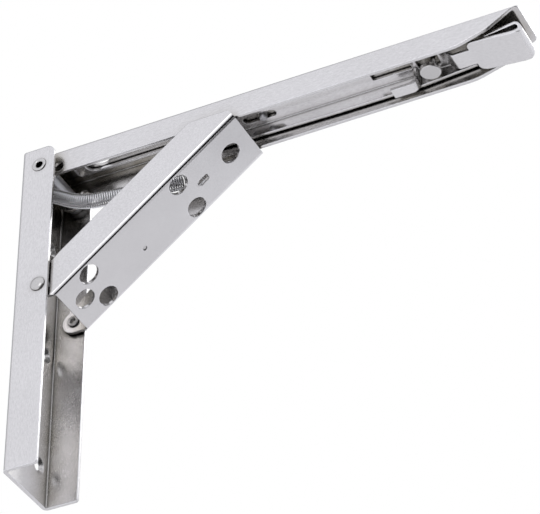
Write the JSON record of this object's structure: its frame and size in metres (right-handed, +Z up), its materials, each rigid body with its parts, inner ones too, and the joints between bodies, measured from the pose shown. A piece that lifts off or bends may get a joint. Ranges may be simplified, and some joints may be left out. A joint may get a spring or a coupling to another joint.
{
  "type": "drop leaf table bracket",
  "caption": "Folding wall bracket for a drop leaf: an arm channel hinged on a wall channel, held out by a sloping brace, with a spring and a pull bar that frees it.",
  "frame": {"origin": "on the wall plane at the centre of the six wall screw holes, on the centre line; the face that carries the leaf is 119 mm above it", "axes": "+X away from the wall along the open arm, +Y across the bracket, +Z up"},
  "size_m": [0.3, 0.0484, 0.2135],
  "materials": {
    "channel_steel": "pale satin steel with bright cut edges",
    "bar_steel": "pale satin steel",
    "rivet_steel": "turned bright steel",
    "bush_steel": "plain turned steel",
    "spring_wire": "bright drawn wire"
  },
  "bodies": {
    "wall": {"wall_channel": "channel_steel", "pivot_tube": "rivet_steel", "pivot_spacer": "bush_steel", "pivot_bush_near": "bush_steel", "pivot_bush_far": "bush_steel", "brace_rivet_near": "rivet_steel", "brace_rivet_far": "rivet_steel", "brace_washer_near": "bush_steel", "brace_washer_far": "bush_steel", "assist_spring": "spring_wire"},
    "arm": {"arm_channel": "channel_steel", "guide_stud": "rivet_steel", "stop_stud": "rivet_steel"},
    "brace": {"brace_channel": "channel_steel"},
    "bar": {"release_bar": "bar_steel"}
  },
  "joints": [
    {"name": "arm_hinge", "type": "hinge", "parent": "wall", "child": "arm", "pos_m": [0.0117, 0, 0.1067], "axis": [0, 1, 0], "range_deg": [0, 90]},
    {"name": "brace_hinge", "type": "hinge", "parent": "wall", "child": "brace", "pos_m": [0.0153, 0, 0.0219], "axis": [0, 1, 0], "range_deg": [0, 128.6], "deforming": ["assist_spring"]},
    {"name": "bar_slide", "type": "slide", "parent": "arm", "child": "bar", "axis": [1, 0, 0], "range_m": [0, 0.0045]}
  ],
  "couplings": [
    {"joint": "brace_hinge", "follows": "arm_hinge", "ratio": 1.4278}
  ]
}
